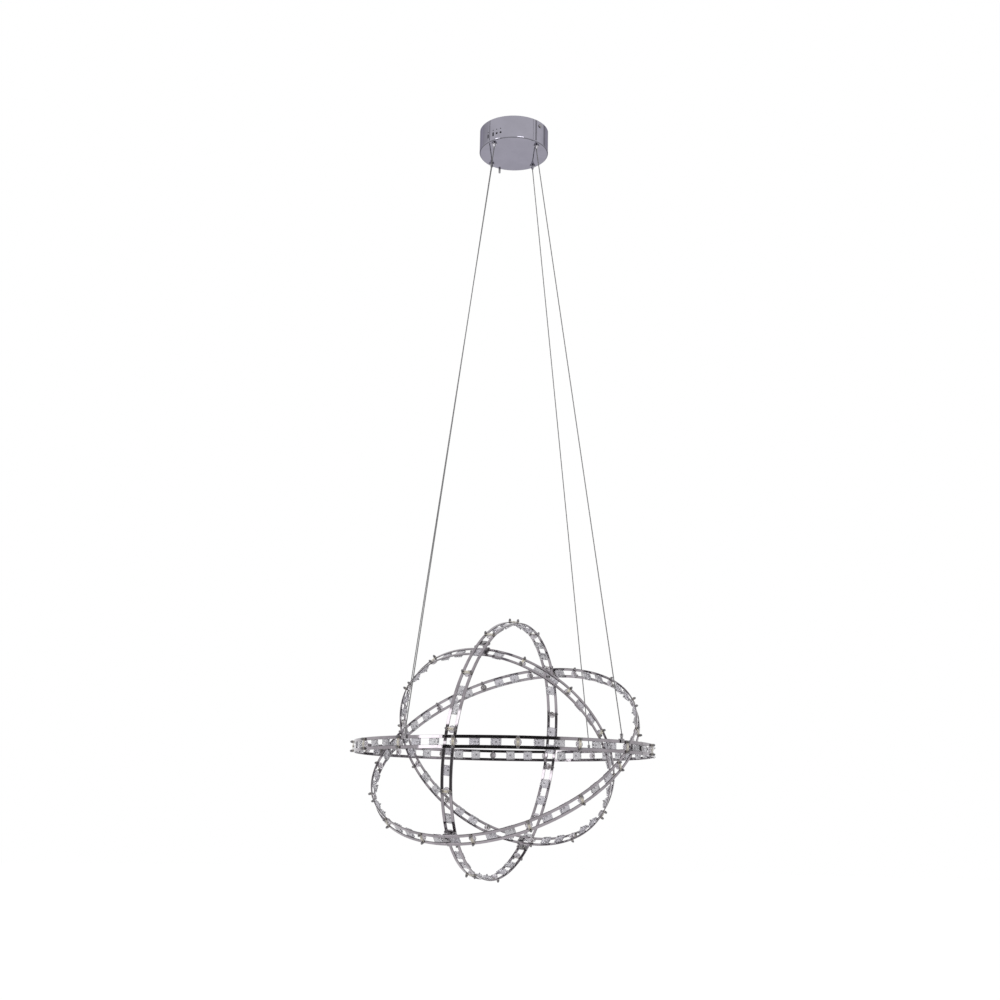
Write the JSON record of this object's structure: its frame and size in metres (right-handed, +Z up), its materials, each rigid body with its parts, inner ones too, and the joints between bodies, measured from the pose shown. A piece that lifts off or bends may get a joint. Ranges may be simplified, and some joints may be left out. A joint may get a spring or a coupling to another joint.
{
  "type": "pendant light",
  "caption": "Ceiling pendant of nested ladder-like hoops set with crystals and LEDs, pivoted inside one another and hung by thin cables from a round canopy.",
  "frame": {"origin": "middle of the ceiling face of the canopy's bracket, midway between the two ceiling bolts", "axes": "+Z up out of the ceiling face, +X to the right and -Y towards the viewer of the picture"},
  "size_m": [0.5112, 0.5112, 1.3542],
  "materials": {
    "canopy_chrome": "polished",
    "hoop_chrome": "polished",
    "fitting_chrome": "polished",
    "pivot_steel": "satin",
    "bracket_steel": "satin",
    "cable_steel": "satin",
    "crystal": "polished",
    "lens": "polished",
    "led_board": "gloss",
    "dark_studs": "satin",
    "dark_pins": "satin",
    "bush_plastic": "satin",
    "driver_plastic": "matte",
    "terminal_plastic": "satin",
    "receiver_plastic": "satin",
    "black_gauze": "matte"
  },
  "bodies": {
    "canopy": {"canopy_cup": "canopy_chrome", "ceiling_bracket": "bracket_steel", "bracket_screws": "bracket_steel", "driver_case": "driver_plastic", "terminal_block": "terminal_plastic", "vent_gauze": "black_gauze", "remote_receiver": "receiver_plastic", "cable_glands": "fitting_chrome", "gland_nuts": "bracket_steel", "cable_front_right": "cable_steel", "cable_back_right": "cable_steel", "cable_back_left": "cable_steel", "cable_front_left": "cable_steel"},
    "outer_hoop": {"outer_rail_top": "hoop_chrome", "outer_rail_bottom": "hoop_chrome", "outer_crystals": "crystal", "outer_crystal_pins": "dark_pins", "outer_led_lenses": "lens", "outer_led_boards": "led_board", "outer_led_studs": "dark_studs", "outer_pivot_plates": "pivot_steel", "outer_rivets": "pivot_steel", "outer_bushes": "bush_plastic", "cable_lugs": "pivot_steel", "cable_grips": "fitting_chrome"},
    "second_hoop": {"second_rail_top": "hoop_chrome", "second_rail_bottom": "hoop_chrome", "second_crystals": "crystal", "second_crystal_pins": "dark_pins", "second_led_lenses": "lens", "second_led_boards": "led_board", "second_led_studs": "dark_studs", "second_pivot_plates": "pivot_steel", "second_rivets": "pivot_steel", "second_bushes": "bush_plastic", "second_pivot_pins": "pivot_steel", "second_pivot_nuts": "pivot_steel"},
    "third_hoop": {"third_rail_left": "hoop_chrome", "third_rail_right": "hoop_chrome", "third_crystals": "crystal", "third_crystal_pins": "dark_pins", "third_led_lenses": "lens", "third_led_boards": "led_board", "third_led_studs": "dark_studs", "third_pivot_plates": "pivot_steel", "third_rivets": "pivot_steel", "third_bushes": "bush_plastic", "third_pivot_pins": "pivot_steel", "third_pivot_nuts": "pivot_steel"},
    "inner_hoop": {"inner_rail_top": "hoop_chrome", "inner_rail_bottom": "hoop_chrome", "inner_crystals": "crystal", "inner_crystal_pins": "dark_pins", "inner_led_lenses": "lens", "inner_led_boards": "led_board", "inner_led_studs": "dark_studs", "inner_pivot_plates": "pivot_steel", "inner_rivets": "pivot_steel", "inner_pivot_pins": "pivot_steel", "inner_pivot_nuts": "pivot_steel"}
  },
  "joints": [
    {"name": "drop_adjust", "type": "slide", "parent": "canopy", "child": "outer_hoop", "axis": [0, 0, 1], "range_m": [0, 0.5], "deforming": ["cable_front_right", "cable_back_right", "cable_back_left", "cable_front_left"]},
    {"name": "second_hoop_swing", "type": "hinge", "parent": "outer_hoop", "child": "second_hoop", "pos_m": [0, 0, -1.138], "axis": [0.8746, -0.4848, 0], "continuous": true},
    {"name": "third_hoop_swing", "type": "hinge", "parent": "second_hoop", "child": "third_hoop", "pos_m": [0, 0, -1.138], "axis": [0.3768, 0.6797, 0.6293], "continuous": true},
    {"name": "inner_hoop_swing", "type": "hinge", "parent": "third_hoop", "child": "inner_hoop", "pos_m": [0, 0, -1.138], "axis": [-0.1645, -0.6195, 0.7676], "continuous": true}
  ]
}
